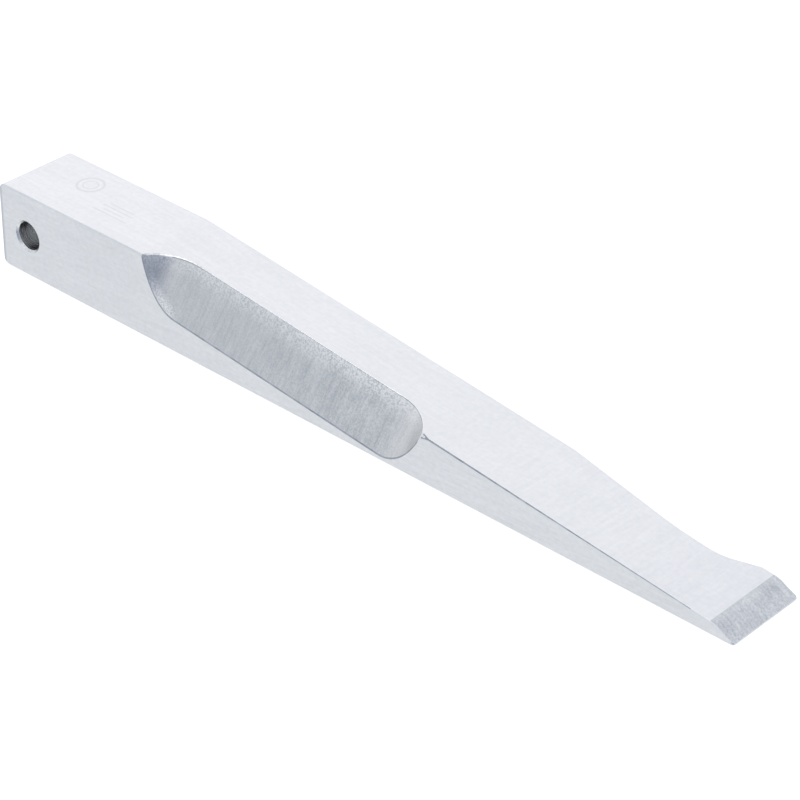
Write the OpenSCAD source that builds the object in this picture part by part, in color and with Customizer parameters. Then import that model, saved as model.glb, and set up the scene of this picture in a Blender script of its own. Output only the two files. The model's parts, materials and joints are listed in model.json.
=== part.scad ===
// Pry wedge: one solid aluminium bar, milled all over.
// The origin is the centre of the underside. +X points to the prying tip and +Z is up.
// The thumb scoop lies on the top edge of the -Y side.

/* [Bar] */
// Overall length, butt to tip
length = 200; // [190:1:240]
// Width of the bar
width = 20; // [18:0.5:26]
// Height of the bar at the butt
height = 20; // [19:0.5:26]

/* [Wedge] */
// Length of the level top, measured from the butt
level_len = 44.3; // [38:0.1:46]
// Height where the taper ends and the steep end bevel starts
bevel_height = 2.75; // [2:0.05:4]
// Slope of the end bevel, in degrees
bevel_angle = 28.5; // [20:0.5:40]
// Thickness of the blunt prying edge
tip_edge = 0.35; // [0.2:0.05:0.8]

/* [Waist] */
// Depth that the far side is cut in behind the nose
waist_depth = 3.35; // [2.5:0.05:4.5]
// Length of the full-width nose in front of the waist
nose_len = 8.4; // [6:0.1:12]
// Angle at which the waist opens out to the nose, in degrees
flare_angle = 25; // [20:1:30]
// Angle at which the far side runs in to the waist, in degrees
run_in_angle = 6.7; // [5:0.1:10]
// Radius between the waist and the flare
flare_r = 12.5; // [5:0.5:14]
// Radius between the run-in and the waist
run_in_r = 125; // [50:5:140]

/* [Thumb scoop] */
// Distance from the butt to the middle of the scoop
scoop_x = 84.2; // [80:0.1:90]
// Length of the scoop along the tapered edge
scoop_len = 79; // [50:0.5:85]
// Depth of the scoop below the edge
scoop_depth = 5.5; // [2:0.1:5.8]
// Slope of the scoop's floor from the horizontal, in degrees
scoop_tilt = 60; // [45:1:61]
// Radius of the scoop's ends
scoop_r = 12.5; // [8:0.5:16]

/* [Hanging hole] */
// Diameter of the hole
hole_d = 6.6; // [4:0.1:9]
// Distance from the butt to the hole
hole_x = 8.7; // [8:0.1:15]
// Height of the hole above the underside
hole_z = 9.75; // [9:0.05:11]
// Width of the countersink at both mouths
countersink = 0.4; // [0.2:0.1:1]

/* [Edges] */
// Radius of the butt's upper and lower edges
butt_r = 2; // [0.5:0.1:4]
// Radius of the upright corners at the butt
upright_r = 0.6; // [0.2:0.1:2]
// Radius of the nose's two corners
nose_r = 0.8; // [0.2:0.1:2]
// Width of the small chamfer along both top edges
edge_break = 0.35; // [0.1:0.05:0.6]

/* [Hidden] */

$fn = 96;
// Clearance that cutters reach past the surfaces they cut
over = 1;
// Radius that softens the top where the taper starts
taper_start_r = 12;
// Radius that softens the top where the taper ends at the bevel
taper_end_r = 6;
// Radius that softens the far side where the waist starts
run_in_start_r = 15;
// Radius that softens the back of the nose
nose_back_r = 2;

butt_x = -length / 2;
tip_x = length / 2;
near_y = -width / 2;
far_y = width / 2;
taper_x = butt_x + level_len;
bevel_x = tip_x - (bevel_height - tip_edge) / tan(bevel_angle);
taper_angle = atan((height - bevel_height) / (bevel_x - taper_x));

nose_x = tip_x - nose_len;
waist_y = far_y - waist_depth;
floor_front_x = nose_x - waist_depth / tan(flare_angle);
floor_back_x = floor_front_x - flare_r * tan(flare_angle / 2) - run_in_r * tan(run_in_angle / 2);
run_in_x = floor_back_x - waist_depth / tan(run_in_angle);

// Height of the tapered top at a distance x along the bar
function top_z(x) = height - tan(taper_angle) * (x - taper_x);

// Unit vector from one point to another
function towards(from, to) = (to - from) / norm(to - from);

// The centre of a fillet of radius r in the corner between two neighbours
function fillet_centre(before, corner, after, r) =
    let (u = towards(corner, before),
         v = towards(corner, after),
         half = acos(u * v) / 2)
    corner + (u + v) / norm(u + v) * r / sin(half);

// How far the fillet's ends lie from the corner
function fillet_reach(before, corner, after, r) =
    r / tan(acos(towards(corner, before) * towards(corner, after)) / 2);

// The sliver between a sharp corner and its fillet
module corner_sliver(before, corner, after, r) {
    reach = fillet_reach(before, corner, after, r);
    difference() {
        polygon([corner,
                 corner + reach * towards(corner, before),
                 corner + reach * towards(corner, after)]);
        translate(fillet_centre(before, corner, after, r)) circle(r);
    }
}

// Outline seen from the side: X along the bar, Y is its height
module side_outline() {
    butt_low = [butt_x, 0];
    tip_low = [tip_x, 0];
    tip_high = [tip_x, tip_edge];
    bevel = [bevel_x, bevel_height];
    taper = [taper_x, height];
    butt_high = [butt_x, height];
    difference() {
        polygon([butt_low, tip_low, tip_high, bevel, taper, butt_high]);
        corner_sliver(butt_high, butt_low, tip_low, butt_r);
        corner_sliver(taper, butt_high, butt_low, butt_r);
        corner_sliver(bevel, taper, butt_high, taper_start_r);
        corner_sliver(tip_high, bevel, taper, taper_end_r);
    }
}

// Outline seen from above
module plan_outline() {
    butt_near = [butt_x, near_y];
    tip_near = [tip_x, near_y];
    tip_far = [tip_x, far_y];
    nose_back = [nose_x, far_y];
    floor_front = [floor_front_x, waist_y];
    floor_back = [floor_back_x, waist_y];
    run_in = [run_in_x, far_y];
    butt_far = [butt_x, far_y];
    difference() {
        union() {
            polygon([butt_near, tip_near, tip_far, nose_back, floor_front, floor_back, run_in, butt_far]);
            corner_sliver(nose_back, floor_front, floor_back, flare_r);
            corner_sliver(floor_front, floor_back, run_in, run_in_r);
        }
        corner_sliver(butt_far, butt_near, tip_near, upright_r);
        corner_sliver(butt_near, tip_near, tip_far, nose_r);
        corner_sliver(tip_near, tip_far, nose_back, nose_r);
        corner_sliver(tip_far, nose_back, floor_front, nose_back_r);
        corner_sliver(floor_back, run_in, butt_far, run_in_start_r);
        corner_sliver(run_in, butt_far, butt_near, upright_r);
    }
}

// The bar before the scoop, the hole and the edge breaks are cut
module blank() {
    intersection() {
        rotate([90, 0, 0]) linear_extrude(width + 2 * over, center = true) side_outline();
        translate([0, 0, -over]) linear_extrude(height + 2 * over) plan_outline();
    }
}

// Cutter for the thumb scoop: the path of a round milling cutter along the tapered edge.
// The cutter leans over the edge, square to it, and cuts no deeper than scoop_depth.
module thumb_scoop() {
    lean = 90 - scoop_tilt;
    end_reach = sqrt(pow(scoop_r, 2) - pow(scoop_r - scoop_depth, 2));
    half_path = scoop_len / 2 - end_reach;
    x = butt_x + scoop_x;
    translate([x, near_y, top_z(x)]) rotate([0, taper_angle, 0]) rotate([-lean, 0, 0])
        linear_extrude(2 * height, center = true) {
            translate([-half_path, scoop_depth - 2 * scoop_r]) square([2 * half_path, 2 * scoop_r]);
            for (side = [-1, 1]) translate([side * half_path, scoop_depth - scoop_r]) circle(scoop_r);
        }
}

// Cutter for the hanging hole, with a small countersink at each mouth
module hanging_hole() {
    hole_r = hole_d / 2;
    translate([butt_x + hole_x, 0, hole_z]) rotate([90, 0, 0]) {
        cylinder(h = width + 2 * over, r = hole_r, center = true);
        for (side = [0, 1]) mirror([0, 0, side])
            translate([0, 0, width / 2 - countersink])
                cylinder(h = countersink + over, r1 = hole_r, r2 = hole_r + countersink + over);
    }
}

// What a 45 degree chamfer along the far top edge leaves: a prism tilted about X, whose
// outline follows the level top and the taper. Its v axis points up and outwards.
module inside_far_chamfer() {
    function v(z) = (z + far_y - edge_break) / sqrt(2);
    back = butt_x - over;
    front = tip_x + over;
    rotate([45, 0, 0]) linear_extrude(3 * height, center = true)
        polygon([[back, -height], [front, -height], [front, v(top_z(front))],
                 [taper_x, v(height)], [back, v(height)]]);
}

module pry_bar() {
    color([0.84, 0.85, 0.87])
        difference() {
            intersection() {
                blank();
                inside_far_chamfer();
                mirror([0, 1, 0]) inside_far_chamfer();
            }
            thumb_scoop();
            hanging_hole();
        }
}

pry_bar();
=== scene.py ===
"""Looks of the pry wedge: a milled and brushed aluminium bar on a pale floor in soft studio light."""

import json
import math

import bmesh
import bpy
import numpy as np
from mathutils import Matrix, Vector


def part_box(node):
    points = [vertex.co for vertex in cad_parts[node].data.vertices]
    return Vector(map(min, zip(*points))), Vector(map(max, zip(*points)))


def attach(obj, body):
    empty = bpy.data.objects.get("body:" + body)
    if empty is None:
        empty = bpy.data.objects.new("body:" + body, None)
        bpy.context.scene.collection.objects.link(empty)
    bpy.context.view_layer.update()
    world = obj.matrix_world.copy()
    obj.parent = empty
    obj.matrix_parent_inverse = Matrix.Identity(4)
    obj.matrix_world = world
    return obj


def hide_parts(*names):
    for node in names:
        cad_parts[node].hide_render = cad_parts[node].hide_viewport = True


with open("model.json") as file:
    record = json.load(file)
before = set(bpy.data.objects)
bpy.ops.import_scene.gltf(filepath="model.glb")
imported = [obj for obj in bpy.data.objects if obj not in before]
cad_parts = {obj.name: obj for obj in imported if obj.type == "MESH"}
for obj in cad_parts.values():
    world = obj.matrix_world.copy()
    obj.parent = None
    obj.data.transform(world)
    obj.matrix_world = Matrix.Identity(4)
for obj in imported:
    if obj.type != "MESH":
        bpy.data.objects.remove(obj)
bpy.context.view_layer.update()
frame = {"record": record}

# Everything below is in millimetres, along the frame's axes, until a mesh is made: the origin is
# under the middle of the bar, +X points to the prying tip and -Y is the side with the thumb scoop.
MM = 0.001

# ------------------------------------------------------------------ the bar's outline

low_corner, high_corner = (np.array(corner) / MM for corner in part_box("pry_bar"))
BUTT_X, NEAR_Y, _ = low_corner
TIP_X, FAR_Y, HEIGHT = high_corner

TAPER_X = BUTT_X + 44.3                   # where the level top turns into the taper
BEVEL_HEIGHT = 2.75                       # where the taper turns into the steep end bevel
BEVEL_ANGLE = math.radians(28.5)
TIP_EDGE = 0.35                           # thickness of the blunt prying edge
TAPER_START_R = 12                        # roundings of the top where the taper starts and ends
TAPER_END_R = 6
BEVEL_X = TIP_X - (BEVEL_HEIGHT - TIP_EDGE) / math.tan(BEVEL_ANGLE)
TAPER_ANGLE = math.atan((HEIGHT - BEVEL_HEIGHT) / (BEVEL_X - TAPER_X))

WAIST_Y = FAR_Y - 3.35                    # the far side is cut in to here behind the nose
NOSE_X = TIP_X - 8.4
FLARE_R = 12.5
FLARE_ANGLE = math.radians(25)
RUN_IN_R = 125
RUN_IN_ANGLE = math.radians(6.7)
RUN_IN_START_R = 15                       # where the far side starts to run in
NOSE_BACK_R = 2
WAIST_FRONT_X = NOSE_X - (FAR_Y - WAIST_Y) / math.tan(FLARE_ANGLE)
# The waist's floor is just as long as the roundings at its two ends reach.
WAIST_FLOOR = FLARE_R * math.tan(FLARE_ANGLE / 2) + RUN_IN_R * math.tan(RUN_IN_ANGLE / 2)
WAIST_BACK_X = WAIST_FRONT_X - WAIST_FLOOR
RUN_IN_X = WAIST_BACK_X - (FAR_Y - WAIST_Y) / math.tan(RUN_IN_ANGLE)

SCOOP_X = BUTT_X + 84.2                   # middle of the thumb scoop
SCOOP_HALF = 39.5                         # half its length along the tapered edge
SCOOP_DEPTH = 5.5
SCOOP_TILT = math.radians(60)             # slope of its floor
SCOOP_R = 12.5                            # radius of its two ends
END_REACH = math.sqrt(SCOOP_R**2 - (SCOOP_R - SCOOP_DEPTH) ** 2)
SCOOP_START_X = SCOOP_X - SCOOP_HALF * math.cos(TAPER_ANGLE)
SCOOP_END_X = SCOOP_X + SCOOP_HALF * math.cos(TAPER_ANGLE)

BUTT_R = 2.0
UPRIGHT_R = 0.6
NOSE_R = 0.8
EDGE_BREAK = 0.32                         # width of the small chamfer along the level near top edge
EDGE_BREAK_AFTER_SCOOP = 0.30             # its width past the scoop
EDGE_BREAK_AT_BEVEL = 0.14
EDGE_FLARE = 0.45                         # how much wider it starts at the scoop's end
EDGE_FLARE_LENGTH = 1.7
FLARE_END_X = SCOOP_END_X + EDGE_FLARE_LENGTH
LOW_EDGE_R = 0.25                         # roundings of the long edges
FAR_EDGE_R = 0.55
SCOOP_RIM_R = 0.28
DEBURRED_RIM_R = 0.65                     # the rim is rounded off more where the scoop starts
DEBURRED_LENGTH = 14.0
SCOOP_FOOT_R = 1.0
CHAMFER_R = 0.08                          # roundings on both sides of the chamfer

ARC_STEP = math.radians(7)                # largest turn between two points of an outline's arc
RIM_STEPS = 4                             # faces across the rounding of a long edge
FLOOR_STEPS = 8                           # faces across the scoop's floor
STATION_GAP = 2.5                         # largest distance between two sections
LEAST_GAP = 0.012                         # sections nearer to each other than this become one
BOUNDARY_GAP = 0.02                       # sections stand this far before and after each end of the scoop
SCOOP_END_STATIONS = 22                   # sections round each of the scoop's ends
FLARE_STATIONS = 7                        # sections along the chamfer's flare
LARGEST_REACH = 0.45                      # the share of a side that the rounding of its corner may take


def unit(vector):
    return vector / np.linalg.norm(vector)


def arc(before, corner, after, radius, steps=None):
    """Points on the arc that rounds a corner between two neighbours; it never passes their middles."""
    before, corner, after = (np.array(point[:2], float) for point in (before, corner, after))
    u, v = unit(before - corner), unit(after - corner)
    half = math.acos(np.clip(u @ v, -1, 1)) / 2
    room = LARGEST_REACH * min(np.linalg.norm(before - corner), np.linalg.norm(after - corner))
    reach = min(radius / math.tan(half), room)
    centre = corner + unit(u + v) * reach / math.cos(half)
    start, end = corner + reach * u - centre, corner + reach * v - centre
    turn = math.pi - 2 * half
    steps = steps or max(2, math.ceil(turn / ARC_STEP))
    points = []
    for i in range(steps + 1):
        from_start = math.sin(turn * (1 - i / steps))
        from_end = math.sin(turn * i / steps)
        points.append(centre + (from_start * start + from_end * end) / math.sin(turn))
    return points


def rounded(*corners):
    """The points of an outline through corners (x, y, radius), without its first and last ones."""
    return np.array([
        point
        for before, corner, after in zip(corners, corners[1:], corners[2:])
        for point in arc(before, corner, after, corner[2])
    ])


MIDDLE_Z = HEIGHT / 2
TOP = rounded(
    (BUTT_X, MIDDLE_Z), (BUTT_X, HEIGHT, BUTT_R), (TAPER_X, HEIGHT, TAPER_START_R),
    (BEVEL_X, BEVEL_HEIGHT, TAPER_END_R), (TIP_X, TIP_EDGE),
)
BOTTOM = rounded((BUTT_X, MIDDLE_Z), (BUTT_X, 0, BUTT_R), (TIP_X, 0))
NEAR = rounded((BUTT_X, 0), (BUTT_X, NEAR_Y, UPRIGHT_R), (TIP_X, NEAR_Y, NOSE_R), (TIP_X, 0))
FAR = rounded(
    (BUTT_X, 0), (BUTT_X, FAR_Y, UPRIGHT_R), (RUN_IN_X, FAR_Y, RUN_IN_START_R),
    (WAIST_BACK_X, WAIST_Y, RUN_IN_R), (WAIST_FRONT_X, WAIST_Y, FLARE_R),
    (NOSE_X, FAR_Y, NOSE_BACK_R), (TIP_X, FAR_Y, NOSE_R), (TIP_X, 0),
)
# The top and the bottom run on in straight lines to the tip.
TOP = np.vstack([TOP, (TIP_X, TIP_EDGE)])
BOTTOM = np.vstack([BOTTOM, (TIP_X, 0)])


def at(outline, x):
    """The outline's other coordinate at x."""
    return float(np.interp(x, outline[:, 0], outline[:, 1]))


# ------------------------------------------------------------------ sections across the bar

# Between each pair the sections change over from upright to leaning, and back.
LEAN_START_X, LEAN_FULL_X = TAPER_X - 18, SCOOP_START_X - 0.8
LEAN_END_X, UPRIGHT_X = SCOOP_END_X + 1, SCOOP_END_X + 19
CHAMFER_SHARE = 0.35                      # most of the bar's height that the chamfer may take
DEBURRING_FADES = 0.6                     # the share of its length after which the deburring fades out


def ease(x, start, end):
    """0 before start, 1 after end, and smooth between them."""
    t = np.clip((x - start) / (end - start), 0, 1)
    return float(t * t * (3 - 2 * t))


def tilt_at(x):
    """Sections lean square to the taper along the scoop, and stand upright at both ends of the bar."""
    leaning = ease(x, LEAN_START_X, LEAN_FULL_X) * (1 - ease(x, LEAN_END_X, UPRIGHT_X))
    return TAPER_ANGLE * leaning


def scoop_depth_at(x):
    """Depth of the scoop below the edge, and how fast it changes along the edge."""
    past = abs(x - SCOOP_X) / math.cos(TAPER_ANGLE) - (SCOOP_HALF - END_REACH)
    if past <= 0:
        return SCOOP_DEPTH, 0.0
    if past >= END_REACH:
        return 0.0, 0.0
    drop = math.sqrt(SCOOP_R**2 - past**2)
    return SCOOP_DEPTH - SCOOP_R + drop, past / drop


def chamfer_at(x):
    """Width of the chamfer along the near top edge: widest just past the scoop, thin at the tip."""
    if x < SCOOP_X:
        return EDGE_BREAK
    flare = EDGE_FLARE * (1 - ease(x, SCOOP_END_X, FLARE_END_X))
    plain = np.interp(x, (SCOOP_END_X, BEVEL_X), (EDGE_BREAK_AFTER_SCOOP, EDGE_BREAK_AT_BEVEL))
    return min(plain + flare, CHAMFER_SHARE * at(TOP, x))


def rim_radius_at(x):
    """Radius of the rounding between the scoop and the top."""
    fades_x = SCOOP_START_X + DEBURRING_FADES * DEBURRED_LENGTH
    deburred = 1 - ease(x, fades_x, SCOOP_START_X + DEBURRED_LENGTH)
    return SCOOP_RIM_R + (DEBURRED_RIM_R - SCOOP_RIM_R) * deburred


def section(x):
    """One ring of points round the bar, in the plane through its top edge at x."""
    tilt = tilt_at(x)
    top = at(TOP, x)
    full = (top - at(BOTTOM, x)) / math.cos(tilt)
    depth, steepness = scoop_depth_at(x)
    chamfer = chamfer_at(x)
    near = at(NEAR, x)
    corners = [
        (near, full),
        (at(FAR, x - full * math.sin(tilt)), full),
        (at(FAR, x), 0),
        (near + max(chamfer, depth / math.sin(SCOOP_TILT)), 0),
        (near, max(chamfer, depth / math.cos(SCOOP_TILT))),
    ]
    rim, foot = CHAMFER_R, CHAMFER_R
    if depth > chamfer:
        oblique = math.hypot(1, steepness)
        rim, foot = rim_radius_at(x) * oblique, SCOOP_FOOT_R * oblique
    radii = LOW_EDGE_R, LOW_EDGE_R, FAR_EDGE_R, rim, foot
    arcs = [
        arc(corners[i - 1], corners[i], corners[(i + 1) % len(corners)], radius, RIM_STEPS)
        for i, radius in enumerate(radii)
    ]
    floor_start, floor_end = arcs[3][-1], arcs[4][0]
    floor = [floor_start + (floor_end - floor_start) * k / FLOOR_STEPS for k in range(1, FLOOR_STEPS)]
    ring = sum(arcs[:4], []) + floor + arcs[4]
    return [(x - q * math.sin(tilt), y, top - q * math.cos(tilt)) for y, q in ring]


def stations():
    """Where the sections stand: close together round each arc, and never further apart than the gap."""
    scoop_ends = [
        SCOOP_X + side * (SCOOP_HALF - END_REACH + END_REACH * math.sin(turn)) * math.cos(TAPER_ANGLE)
        for side in (-1, 1)
        for turn in np.linspace(0, math.pi / 2, SCOOP_END_STATIONS)
    ]
    boundaries = [
        x + side * BOUNDARY_GAP
        for x in (SCOOP_START_X, SCOOP_END_X)
        for side in (-1, 1)
    ]
    flare = list(np.linspace(SCOOP_END_X, FLARE_END_X, FLARE_STATIONS))
    outlines = [x for outline in (TOP, BOTTOM, NEAR, FAR) for x in outline[:, 0]]
    even = list(np.linspace(BUTT_X, TIP_X, round((TIP_X - BUTT_X) / STATION_GAP) + 1))
    kept = []
    for x in sorted(outlines + scoop_ends + boundaries + flare + even):
        if not kept or x - kept[-1] > LEAST_GAP:
            kept.append(x)
    kept[-1] = TIP_X
    return kept


# ------------------------------------------------------------------ meshes

SURFACES = (
    "ground_top", "brushed_side", "milled_scoop", "ground_bevel",
    "drilled_bore", "cut_with_painted_highlight", "painted_dark_line",
)
# Vertex attributes that the finishes read.
EDGE_ATTRIBUTE = "edge"                   # how exposed: 1 in the middle of a rounding, 0 on flat faces
BELOW_RIM_ATTRIBUTE = "below_rim"         # distance in mm from the scoop's upper boundary
ABOVE_FOOT_ATTRIBUTE = "above_foot"       # distance in mm from the scoop's lower boundary

# Where the parts of a ring start: the top after its far rounding, the scoop's rim, floor and foot.
ARC_POINTS = RIM_STEPS + 1
TOP_FIRST = 2 * ARC_POINTS + RIM_STEPS // 2
RIM_FIRST = 3 * ARC_POINTS
FLOOR_FIRST = RIM_FIRST + RIM_STEPS
FOOT_FIRST = FLOOR_FIRST + FLOOR_STEPS
FOOT_LAST = FOOT_FIRST + RIM_STEPS

BEVEL_START_X = BEVEL_X - 1.2             # the bevel's finish starts on the rounding behind it
DARK_LINE_START_X = SCOOP_START_X + 4.5        # the painted dark line on the scoop's rim starts here
DARK_LINE_END_X = BEVEL_X - 5                  # the near top edge's painted dark line ends here
WIDE_LINE_X = SCOOP_END_X - 11.0          # the painted dark line on the scoop's rim is wider from here on
FLARE_NARROWS_X = SCOOP_END_X + 0.55 * EDGE_FLARE_LENGTH  # from here on the flare is all painted dark
FOOT_LINE = 3                             # the painted dark line on the scoop's foot takes this many faces
FLARE_LINE = 2                            # and so many on each border of the flare


def rim_line_at(x):
    """How many faces wide the painted dark line on the scoop's rim is."""
    if x > WIDE_LINE_X:
        return 2
    return 1 if x > DARK_LINE_START_X else 0


def surface_of(ring_index, x):
    """Which of the surfaces a face of the loft belongs to, by its place round the ring."""
    if TOP_FIRST <= ring_index < RIM_FIRST:
        return "ground_bevel" if x > BEVEL_START_X else "ground_top"
    if not RIM_FIRST <= ring_index < FOOT_LAST:
        return "brushed_side"
    on_floor = FLOOR_FIRST <= ring_index < FOOT_FIRST
    if SCOOP_START_X < x < SCOOP_END_X:
        rim_line_first = FLOOR_FIRST - rim_line_at(x)
        if ring_index < rim_line_first and x < SCOOP_START_X + DEBURRED_LENGTH:
            return "cut_with_painted_highlight"
        on_rim_line = rim_line_first <= ring_index < FLOOR_FIRST
        on_foot_line = ring_index >= FOOT_LAST - FOOT_LINE
        return "painted_dark_line" if on_rim_line or on_foot_line else "milled_scoop"
    if SCOOP_END_X < x < FLARE_END_X:
        on_border = not FLOOR_FIRST + FLARE_LINE <= ring_index < FOOT_FIRST - FLARE_LINE
        return "painted_dark_line" if on_border or x > FLARE_NARROWS_X else "brushed_side"
    return "painted_dark_line" if on_floor and SCOOP_END_X < x < DARK_LINE_END_X else "brushed_side"


def wear_round_ring():
    """How exposed each point of a ring is."""
    rounding = [math.sin(math.pi * step / RIM_STEPS) for step in range(RIM_STEPS + 1)]
    return rounding * 4 + [0.0] * (FLOOR_STEPS - 1) + rounding


def distance_round_ring(points):
    """How far each point of a ring lies, along the ring, from the scoop's upper boundary."""
    steps = np.linalg.norm(np.diff(np.array(points), axis=0), axis=1)
    run = np.concatenate([[0], np.cumsum(steps)])
    return np.clip(run - run[RIM_FIRST], 0, run[FOOT_LAST] - run[RIM_FIRST])


SAME_PLACE = 0.0005                       # points nearer to each other than this become one


def lofted_bar():
    """The whole bar before its hole is drilled: a skin over the sections, closed at both ends."""
    mesh = bmesh.new()
    places = stations()
    edge, below_rim, above_foot = (
        mesh.verts.layers.float.new(name)
        for name in (EDGE_ATTRIBUTE, BELOW_RIM_ATTRIBUTE, ABOVE_FOOT_ATTRIBUTE)
    )
    rings = []
    for x in places:
        points = section(x)
        distances = distance_round_ring(points)
        at_end_face = x in (places[0], places[-1])
        rings.append([mesh.verts.new(Vector(point) * MM) for point in points])
        for vertex, exposed, distance in zip(rings[-1], wear_round_ring(), distances):
            vertex[edge] = 0.0 if at_end_face else exposed
            vertex[below_rim] = distance
            vertex[above_foot] = distances[-1] - distance
    for i, (ring, following) in enumerate(zip(rings, rings[1:])):
        middle = (places[i] + places[i + 1]) / 2
        for k in range(len(ring)):
            after = (k + 1) % len(ring)
            face = mesh.faces.new((ring[k], ring[after], following[after], following[k]))
            face.material_index = SURFACES.index(surface_of(k, middle))
    for ring in (rings[0], rings[-1]):
        mesh.faces.new(ring).material_index = SURFACES.index("brushed_side")
    bmesh.ops.remove_doubles(mesh, verts=mesh.verts, dist=SAME_PLACE * MM)
    bmesh.ops.recalc_face_normals(mesh, faces=mesh.faces)
    return mesh


HOLE = next(mount for mount in frame["record"]["mounts"] if mount["name"] == "hanging_hole")
HOLE_X, _, HOLE_Z = (value / MM for value in HOLE["pos_m"])
HOLE_R = HOLE["dims"]["r_mm"]
COUNTERSINK = 0.5                         # width of the cone at both mouths
BORE_SIDES = 96
DRILL_REACH = 1.5                         # how far the drill stands out of the bar's sides


def drill():
    """A cutter for the hanging hole: a round shaft that widens to a cone at both mouths."""
    mesh = bmesh.new()
    wide = HOLE_R + COUNTERSINK + DRILL_REACH
    profile = [
        (wide, NEAR_Y - DRILL_REACH),
        (HOLE_R, NEAR_Y + COUNTERSINK),
        (HOLE_R, FAR_Y - COUNTERSINK),
        (wide, FAR_Y + DRILL_REACH),
    ]
    turns = [2 * math.pi * k / BORE_SIDES for k in range(BORE_SIDES)]
    rings = [
        [
            mesh.verts.new(Vector((HOLE_X + r * math.cos(turn), y, HOLE_Z + r * math.sin(turn))) * MM)
            for turn in turns
        ]
        for r, y in profile
    ]
    for ring, following in zip(rings, rings[1:]):
        for k in range(BORE_SIDES):
            after = (k + 1) % BORE_SIDES
            mesh.faces.new((ring[k], ring[after], following[after], following[k]))
    for ring in (rings[0], rings[-1]):
        mesh.faces.new(ring)
    bmesh.ops.recalc_face_normals(mesh, faces=mesh.faces)
    return mesh


def object_from(name, mesh):
    data = bpy.data.meshes.new(name)
    mesh.to_mesh(data)
    mesh.free()
    made = bpy.data.objects.new(name, data)
    bpy.context.scene.collection.objects.link(made)
    return made


def cut(piece, cutter):
    """Takes the cutter's shape out of the piece for good, and removes the cutter."""
    boolean = piece.modifiers.new("hole", "BOOLEAN")
    boolean.operation = "DIFFERENCE"
    boolean.solver = "EXACT"
    boolean.object = cutter
    bpy.context.view_layer.update()
    done = bpy.data.meshes.new_from_object(piece.evaluated_get(bpy.context.evaluated_depsgraph_get()))
    piece.modifiers.clear()
    piece.data = done
    bpy.data.objects.remove(cutter)


SIDE_NORMAL = 0.95                        # a face whose normal has more Y than this is the bar's side
CONE_NORMAL = 0.3                         # and with more than this, a cone at the hole's mouth


def mark_bore(piece):
    """Gives the hole's faces their finishes: the drilled shaft, and the cones at its two mouths."""
    for face in piece.data.polygons:
        x, _, z = face.center / MM
        inside = math.hypot(x - HOLE_X, z - HOLE_Z) < HOLE_R + COUNTERSINK
        sideways = abs(face.normal.y)
        if inside and sideways < SIDE_NORMAL:
            surface = "cut_with_painted_highlight" if sideways > CONE_NORMAL else "drilled_bore"
            face.material_index = SURFACES.index(surface)


CRISP_ANGLE = math.radians(32)            # edges that turn more than this stay sharp


def shade_with_crisp_edges(piece):
    piece.data.shade_smooth()
    piece.data.set_sharp_from_angle(angle=CRISP_ANGLE)
    weighted = piece.modifiers.new("weighted_normals", "WEIGHTED_NORMAL")
    weighted.keep_sharp = True


# ------------------------------------------------------------------ materials

class Nodes:
    """The nodes of a material or a world, which are added with their inputs already connected."""

    def __init__(self, tree):
        self.tree = tree

    def connect(self, node, values):
        for name, value in values.items():
            if isinstance(value, bpy.types.NodeSocket):
                self.tree.links.new(value, node.inputs[name])
            else:
                node.inputs[name].default_value = value

    def add(self, kind, values=None, **settings):
        node = self.tree.nodes.new(kind)
        for name, value in settings.items():
            setattr(node, name, value)
        self.connect(node, values or {})
        return node.outputs

    def math(self, operation, first, second=0.0, third=0.0, clamp=False):
        values = {0: first, 1: second, 2: third}
        return self.add("ShaderNodeMath", values, operation=operation, use_clamp=clamp)[0]

    def ramp(self, value, start, end, low=0.0, high=1.0):
        """Maps value smoothly from the range start to end onto the range low to high."""
        return self.add("ShaderNodeMapRange", {"Value": value, "From Min": start, "From Max": end,
                                               "To Min": low, "To Max": high},
                        interpolation_type="SMOOTHSTEP")[0]

    def between(self, share, first, second):
        """The first value where share is 0, the second where it is 1."""
        return self.add("ShaderNodeMix", {0: share, 2: first, 3: second})[0]

    def blend(self, share, first, second):
        """The same for two colours, which have inputs and an output of their own on the same node."""
        return self.add("ShaderNodeMix", {0: share, 6: first, 7: second}, data_type="RGBA")[2]


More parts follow.
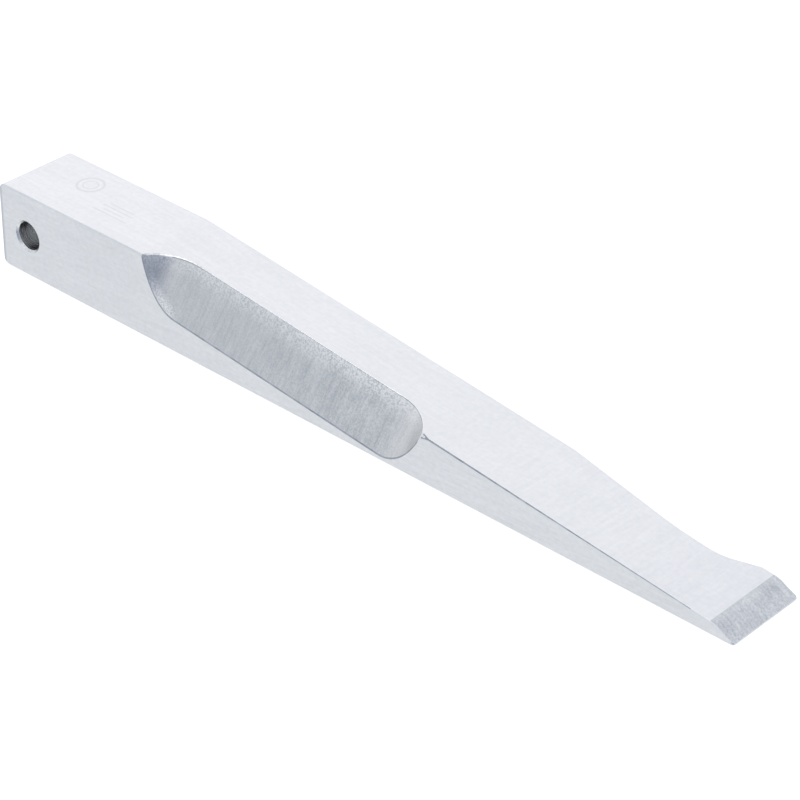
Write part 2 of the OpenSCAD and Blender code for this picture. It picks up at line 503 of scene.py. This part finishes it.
class Finish(Nodes):
    """One finish: a material, with what its nodes mostly need."""

    def __init__(self, name):
        self.material = bpy.data.materials.new(name)
        self.material.use_nodes = True
        super().__init__(self.material.node_tree)
        self.shader = self.tree.nodes["Principled BSDF"]
        self.place = self.add("ShaderNodeTexCoord")["Object"]

    def turned(self, x=0.0, y=0.0, z=0.0):
        """The place on the surface, in millimetres, after a turn about Y and then about X and Z."""
        scaled = self.add("ShaderNodeMapping", {"Vector": self.place, "Scale": [1 / MM] * 3,
                                                "Rotation": (0, math.radians(y), 0)})[0]
        return self.add("ShaderNodeMapping", {"Vector": scaled,
                                              "Rotation": (math.radians(x), 0, math.radians(z))})[0]

    def noise(self, place, size, detail=3.0, roughness=0.55, distortion=0.0):
        """Noise whose features have the given size in millimetres along each axis."""
        stretched = self.add("ShaderNodeMapping", {"Vector": place, "Scale": [1 / s for s in size]})[0]
        return self.add("ShaderNodeTexNoise", {"Vector": stretched, "Scale": 1.0, "Detail": detail,
                                               "Roughness": roughness, "Distortion": distortion})[0]

    def spread(self, value, low, high, contrast=1.0):
        """Maps noise, which mostly lies between 0.3 and 0.7, to the range from low to high."""
        half = 0.2 / contrast
        return self.add("ShaderNodeMapRange", {"Value": value, "From Min": 0.5 - half,
                                               "From Max": 0.5 + half, "To Min": low, "To Max": high})[0]

    def attribute(self, name):
        return self.add("ShaderNodeAttribute", attribute_name=name)["Fac"]

    def bump(self, height, distance, strength=1.0, normal=None):
        """Relief of the given depth in millimetres."""
        values = {"Height": height, "Distance": distance * MM, "Strength": strength}
        if normal is not None:
            values["Normal"] = normal
        return self.add("ShaderNodeBump", values)[0]

    def worn(self, place):
        """How worn the metal is: the middle of each rounded edge, broken up by noise."""
        edge = self.attribute(EDGE_ATTRIBUTE)
        patches = self.spread(self.noise(place, (1.5, 0.8, 0.8)), 0.2, 1.0)
        return self.math("MULTIPLY", edge, patches, clamp=True)

    def mixed(self, *shares):
        """The weighted sum of pairs (weight, value)."""
        total = 0.0
        for weight, value in shares:
            total = self.math("MULTIPLY_ADD", value, weight, total)
        return total

    def metal(self, shade, roughness, normal):
        """Bare metal."""
        self.shader.inputs["Metallic"].default_value = 1.0
        self.connect(self.shader, {"Base Color": shade, "Roughness": roughness, "Normal": normal})
        return self.material

    def burnished(self, place, shade, roughness, normal):
        """Bare metal that is lighter and glossier where its edges are worn."""
        worn = self.worn(place)
        rough = self.between(worn, roughness, WORN_ROUGHNESS)
        return self.metal(self.blend(worn, shade, WORN_SHADE), rough, normal)


def shade_of(red, green, blue):
    return (red, green, blue, 1)


TOP_SHADES = shade_of(0.82, 0.83, 0.855), shade_of(0.98, 0.98, 1.0)
ETCHED_SHADE = shade_of(0.66, 0.67, 0.70)
SIDE_SHADES = shade_of(0.77, 0.785, 0.81), shade_of(0.94, 0.95, 0.97)
# painted shade for the band beside the butt's upright corners
PAINTED_CORNER_SHADE = shade_of(0.60, 0.62, 0.65)
SCOOP_SHADES = shade_of(0.57, 0.59, 0.61), shade_of(0.81, 0.82, 0.83)
# painted light towards the scoop's end, a little warm
SCOOP_END_PAINTED_LIGHT = shade_of(0.95, 0.93, 0.915)
# the white of the scoop's painted highlight grains
PAINTED_GLINT_SHADE = shade_of(1.0, 1.0, 1.0)
BEVEL_SHADES = shade_of(0.60, 0.62, 0.66), shade_of(1.0, 1.0, 1.0)
BEVEL_PAINTED_SHADE = shade_of(0.62, 0.65, 0.68)
# painted shade: the inside of the hole is darker
BORE_TONES_WITH_PAINTED_SHADE = shade_of(0.59, 0.595, 0.60), shade_of(0.86, 0.87, 0.88)
# the cuts' light tone: partly their own bright metal, partly a painted highlight
CUT_AND_HIGHLIGHT_SHADES = shade_of(0.72, 0.73, 0.74), shade_of(1.0, 1.0, 1.0)
# painted shade for the fine dark lines along the scoop's boundary and the chamfer
PAINTED_LINE_SHADES = shade_of(0.30, 0.32, 0.37), shade_of(0.54, 0.56, 0.61)
WORN_SHADE = shade_of(0.96, 0.965, 0.98)
WORN_ROUGHNESS = 0.22


RING_X, RING_Y = BUTT_X + 15.5, 2.8       # the etched mark: its rings and their half widths
RING_LINES = {3.0: 0.28, 1.7: 0.16}
BARS_X, FIRST_BAR_Y, BAR_GAP = BUTT_X + 28.2, 0.3, 1.25
BAR_LENGTHS = 7.0, 9.0, 6.0, 10.0
BAR_HALF = 0.16
ETCHED_BLUR = 0.10
ETCHED_STRENGTH = 0.42


def etching(f, place):
    """A plain laser-etched mark near the butt: two rings and four bars. 1 on its lines, 0 elsewhere."""
    x, y, _ = f.add("ShaderNodeSeparateXYZ", {"Vector": place})

    def inside(distance, half):
        values = {"Value": distance, "From Min": half - ETCHED_BLUR, "From Max": half + ETCHED_BLUR,
                  "To Min": 1.0, "To Max": 0.0}
        return f.add("ShaderNodeMapRange", values)[0]

    def off(value, middle):
        return f.math("ABSOLUTE", f.math("SUBTRACT", value, middle))

    squares = f.math("ADD", f.math("POWER", off(x, RING_X), 2.0), f.math("POWER", off(y, RING_Y), 2.0))
    from_ring = f.math("SQRT", squares)
    mark = 0.0
    for radius, half in RING_LINES.items():
        mark = f.math("MAXIMUM", mark, inside(off(from_ring, radius), half))
    for row, bar_length in enumerate(BAR_LENGTHS):
        across = inside(off(y, FIRST_BAR_Y - row * BAR_GAP), BAR_HALF)
        along = inside(off(x, BARS_X), bar_length / 2)
        mark = f.math("MAXIMUM", mark, f.math("MINIMUM", across, along))
    return mark


CROSS_START_X, CROSS_FULL_X = 0.0, 60.0   # between these the top's cross marks come in


def ground_top():
    """The top: ground along the bar, with cross marks towards the tip, and the etched mark."""
    f = Finish("ground_top")
    place = f.turned()
    lengthwise = f.mixed((0.6, f.noise(place, (16, 0.9, 3))), (0.4, f.noise(place, (7, 0.3, 1))))
    wide_marks = f.noise(f.turned(z=4), (0.9, 12, 3))
    fine_marks = f.noise(f.turned(z=-5), (0.4, 6, 3))
    crosswise = f.mixed((0.6, wide_marks), (0.4, fine_marks))
    x = f.add("ShaderNodeSeparateXYZ", {"Vector": place})[0]
    lay = f.between(f.ramp(x, CROSS_START_X, CROSS_FULL_X), lengthwise, crosswise)
    mottle = f.noise(place, (1.1, 0.9, 0.9), detail=2)
    cloud = f.noise(place, (22, 9, 9), detail=2)
    tone = f.mixed((0.45, lay), (0.35, mottle), (0.2, cloud))
    plain = f.blend(f.spread(tone, 0, 1), *TOP_SHADES)
    etched = f.math("MULTIPLY", etching(f, place), ETCHED_STRENGTH)
    marked = f.blend(etched, plain, ETCHED_SHADE)
    relief = f.bump(lay, 0.010, normal=f.bump(mottle, 0.006))
    return f.burnished(place, marked, f.spread(tone, 0.30, 0.40), relief)


CORNER_START_X = BUTT_X + 0.2             # the band of painted shade beside the butt's upright corners
CORNER_FADE_X, CORNER_END_X = BUTT_X + 0.7, BUTT_X + 1.4
CORNER_STRENGTH = 0.8


def brushed_side():
    """The sides, butt and underside: brushed at a slight angle, with painted shade beside the butt's
    upright corners.
    """
    f = Finish("brushed_side")
    place = f.turned(y=3)
    streaks = f.mixed((0.55, f.noise(place, (14, 0.9, 0.9))), (0.45, f.noise(place, (6, 0.35, 0.35))))
    mottle = f.noise(place, (1.2, 0.9, 0.9), detail=2)
    cloud = f.noise(place, (25, 10, 8), detail=2)
    tone = f.mixed((0.45, streaks), (0.35, mottle), (0.2, cloud))
    relief = f.bump(streaks, 0.010, normal=f.bump(mottle, 0.005))
    x = f.add("ShaderNodeSeparateXYZ", {"Vector": f.turned()})[0]
    plain = f.blend(f.spread(tone, 0, 1, contrast=1.2), *SIDE_SHADES)
    # painted shade: darker in a band beside the butt's upright corners
    painted_shade_by_corner = f.math("MULTIPLY", f.ramp(x, BUTT_X, CORNER_START_X),
                       f.ramp(x, CORNER_FADE_X, CORNER_END_X, CORNER_STRENGTH, 0.0))
    shade = f.blend(painted_shade_by_corner, plain, PAINTED_CORNER_SHADE)
    return f.burnished(place, shade, f.spread(tone, 0.32, 0.42), relief)


def scoop_place(f):
    """Places turned so that Z runs across the scoop, the way the cutter's ruling does."""
    return f.turned(x=90 - math.degrees(SCOOP_TILT), y=-math.degrees(TAPER_ANGLE))


def milled_scoop():
    """The scoop: brushed across by the cutter, with painted highlight grains by its rim and start, and
    painted light at its end.
    """
    f = Finish("milled_scoop")
    place = scoop_place(f)
    lay = f.mixed((0.5, f.noise(place, (0.9, 0.9, 9))), (0.5, f.noise(place, (0.5, 0.5, 5))))
    grit = f.noise(place, (0.35, 0.35, 0.35), detail=2)
    cloud = f.noise(place, (6, 5, 5), detail=2)
    tone = f.mixed((0.45, lay), (0.35, grit), (0.2, cloud))
    x = f.add("ShaderNodeSeparateXYZ", {"Vector": f.turned()})[0]
    # painted light: the floor turns lighter and a little warmer towards the scoop's end
    painted_light_at_end = f.ramp(x, SCOOP_END_X - 14, SCOOP_END_X - 3, 0.0, 0.55)
    gain = f.ramp(x, SCOOP_X - 15, SCOOP_END_X - 12, 1.3, 2.3)
    strong_tone = f.math("MULTIPLY_ADD", f.math("SUBTRACT", tone, 0.5), gain, 0.5)
    plain = f.blend(f.spread(strong_tone, 0, 1), *SCOOP_SHADES)
    plain = f.blend(painted_light_at_end, plain, SCOOP_END_PAINTED_LIGHT)
    # painted highlight: white grains in a band under the rim, stronger towards the end, and by the foot
    # where the scoop starts
    to_end = f.ramp(x, SCOOP_START_X + 20, SCOOP_END_X - 10, 0.75, 1.2)
    below_rim = f.attribute(BELOW_RIM_ATTRIBUTE)
    near_rim = f.math("MULTIPLY", f.ramp(below_rim, 0.0, 5.0, 1.0, 0.0), to_end)
    at_start = f.math("MULTIPLY", f.ramp(x, SCOOP_START_X + 1, SCOOP_START_X + 3),
                      f.ramp(x, SCOOP_START_X + 6, SCOOP_START_X + 11, 1.2, 0.0))
    above_foot = f.attribute(ABOVE_FOOT_ATTRIBUTE)
    near_foot = f.math("MULTIPLY", f.ramp(above_foot, 1.0, 3.6, 1.0, 0.0), at_start)
    painted_glints = f.spread(grit, 0.2, 1.0, contrast=2.8)
    painted_glinting = f.math("MULTIPLY", f.math("MAXIMUM", near_rim, near_foot), painted_glints, clamp=True)
    relief = f.bump(grit, 0.035, normal=f.bump(lay, 0.04))
    return f.burnished(place, f.blend(painted_glinting, plain, PAINTED_GLINT_SHADE), f.spread(tone, 0.26, 0.38), relief)


def ground_bevel():
    """The end bevel: coarse and granular, with scratches that run down it, and painted shade on the
    rounding where it starts.
    """
    f = Finish("ground_bevel")
    place = f.turned()
    grit = f.noise(place, (0.42, 0.42, 0.42), detail=3)
    scratches = f.noise(f.turned(z=4), (9, 0.6, 9))
    cloud = f.noise(place, (4, 5, 4), detail=2)
    tone = f.mixed((0.45, grit), (0.3, scratches), (0.25, cloud))
    x = f.add("ShaderNodeSeparateXYZ", {"Vector": place})[0]
    # painted shade: darkest on the rounding behind the bevel, gone where the bevel proper starts
    line = f.ramp(x, BEVEL_START_X, BEVEL_X, 0.55, 0.0)
    plain = f.blend(f.spread(tone, 0, 1, contrast=1.35), *BEVEL_SHADES)
    shade = f.blend(line, plain, BEVEL_PAINTED_SHADE)
    relief = f.bump(grit, 0.05, normal=f.bump(scratches, 0.03))
    return f.burnished(place, shade, f.spread(tone, 0.34, 0.5), relief)


def drilled_bore():
    """The hole: rings left by the drill, glossier, with painted shade that makes it darker."""
    f = Finish("drilled_bore")
    rings = f.noise(f.turned(), (8, 0.35, 8), detail=2)
    shade = f.blend(f.spread(rings, 0, 1), *BORE_TONES_WITH_PAINTED_SHADE)
    return f.metal(shade, f.spread(rings, 0.2, 0.34), f.bump(rings, 0.02))


def cut_with_painted_highlight():
    """Deburring cuts, at the hole's mouths and where the scoop starts: partly their own bright metal and
    partly a painted highlight, with a little chatter.
    """
    f = Finish("cut_with_painted_highlight")
    chatter = f.noise(f.turned(), (0.7, 0.7, 0.7), detail=2)
    shade = f.blend(f.spread(chatter, 0, 1, contrast=1.5), *CUT_AND_HIGHLIGHT_SHADES)
    return f.metal(shade, f.spread(chatter, 0.24, 0.36), f.bump(chatter, 0.02))


def painted_dark_line():
    """Painted shade: fine dark lines along the scoop's boundary and along the chamfer past it."""
    f = Finish("painted_dark_line")
    breaks = f.noise(f.turned(), (2.5, 2.5, 2.5))
    shade = f.blend(f.spread(breaks, 0, 1), *PAINTED_LINE_SHADES)
    return f.metal(shade, f.spread(breaks, 0.25, 0.4), f.bump(breaks, 0.01))


FINISHES = {
    "ground_top": ground_top,
    "brushed_side": brushed_side,
    "milled_scoop": milled_scoop,
    "ground_bevel": ground_bevel,
    "drilled_bore": drilled_bore,
    "cut_with_painted_highlight": cut_with_painted_highlight,
    "painted_dark_line": painted_dark_line,
}

# ------------------------------------------------------------------ stage, light and camera

FLOOR_HALF = 6000                         # half the floor's width
FLOOR_SHADE = shade_of(0.8, 0.8, 0.8)
FLOOR_LIGHT = shade_of(1, 1, 1)
FLOOR_GLOW = 0.57


def pale_floor():
    """A lit white table, as product photographs are taken on. The bar's metal doesn't mirror it."""
    mesh = bmesh.new()
    bmesh.ops.create_grid(mesh, x_segments=1, y_segments=1, size=FLOOR_HALF * MM)
    floor = object_from("studio_floor", mesh)
    f = Finish("pale_floor")
    f.connect(f.shader, {"Base Color": FLOOR_SHADE, "Roughness": 0.9, "Specular IOR Level": 0.0,
                         "Emission Color": FLOOR_LIGHT, "Emission Strength": FLOOR_GLOW})
    floor.data.materials.append(f.material)
    floor.visible_glossy = False


SKY_BEHIND = shade_of(0.95, 0.96, 0.98)
SKY_BELOW = shade_of(0.84, 0.86, 0.88)
SKY_OVERHEAD = shade_of(0.62, 0.655, 0.71)
SKY_LEFT = shade_of(0.62, 0.64, 0.67)
SKY_FRONT = shade_of(0.69, 0.72, 0.765)
SKY_RIGHT = shade_of(0.38, 0.415, 0.50)
SKY_ZENITH = shade_of(1.7, 1.7, 1.7)


def studio_world():
    """Soft light from all round: brightest near the zenith and behind the bar, dimmer elsewhere."""
    world = bpy.data.worlds.new("studio")
    bpy.context.scene.world = world
    world.use_nodes = True
    sky = Nodes(world.node_tree)
    direction = sky.add("ShaderNodeTexCoord")["Generated"]

    def with_patch(color, shade, towards, edge, full):
        """Adds a soft round patch; edge and full are the cosines where it starts and where it is whole."""
        facing = sky.add("ShaderNodeVectorMath", {0: direction, 1: Vector(towards).normalized()},
                         operation="DOT_PRODUCT")["Value"]
        return sky.blend(sky.ramp(facing, edge, full), color, shade)

    color = with_patch(SKY_BEHIND, SKY_BELOW, (0, 0, -1), 0.0, 0.35)
    color = with_patch(color, SKY_OVERHEAD, (0.3, 0.45, 0.84), 0.74, 0.93)
    color = with_patch(color, SKY_LEFT, (-1.0, 0.0, -0.15), 0.86, 0.98)
    color = with_patch(color, SKY_FRONT, (-0.45, -0.85, 0.35), 0.55, 0.90)
    color = with_patch(color, SKY_RIGHT, (0.85, -0.52, -0.05), 0.60, 0.82)
    color = with_patch(color, SKY_ZENITH, (-0.13, -0.23, 0.95), 0.93, 0.985)
    sky.connect(world.node_tree.nodes["Background"], {"Color": color, "Strength": 1.0})


# The photo's viewpoint, in degrees and millimetres, worked out from where the bar's corners are in it.
CAMERA_AZIMUTH = 42.22
CAMERA_ELEVATION = 33.044
CAMERA_ROLL = 0.674
CAMERA_PLACE = Vector((340.0, -365.06, 328.43)) * MM
CAMERA_LENS = 132.78
CAMERA_SENSOR = 36
CAMERA_CLIP_START = 10


def studio_camera():
    """The camera, which looks against back; its level and upright axes are turned by the roll."""
    azimuth, elevation, roll = (math.radians(a) for a in (CAMERA_AZIMUTH, CAMERA_ELEVATION, CAMERA_ROLL))
    back = Vector((
        math.sin(azimuth) * math.cos(elevation),
        -math.cos(azimuth) * math.cos(elevation),
        math.sin(elevation),
    ))
    level = Vector((math.cos(azimuth), math.sin(azimuth), 0))
    upright = back.cross(level)
    right = math.cos(roll) * level + math.sin(roll) * upright
    up = back.cross(right)
    camera = bpy.data.objects.new("camera", bpy.data.cameras.new("camera"))
    camera.data.lens = CAMERA_LENS
    camera.data.sensor_width = CAMERA_SENSOR
    camera.data.clip_start = CAMERA_CLIP_START * MM
    turn = Matrix((right, up, back)).transposed().to_4x4()
    camera.matrix_world = Matrix.Translation(CAMERA_PLACE) @ turn
    bpy.context.scene.collection.objects.link(camera)
    bpy.context.scene.camera = camera


# ------------------------------------------------------------------ putting it together

bar = object_from("bar_body", lofted_bar())
for surface in SURFACES:
    bar.data.materials.append(FINISHES[surface]())
cut(bar, object_from("drill", drill()))
mark_bore(bar)
shade_with_crisp_edges(bar)
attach(bar, "root")
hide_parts("pry_bar")

pale_floor()
studio_world()
studio_camera()
bpy.context.scene.view_settings.view_transform = "Standard"
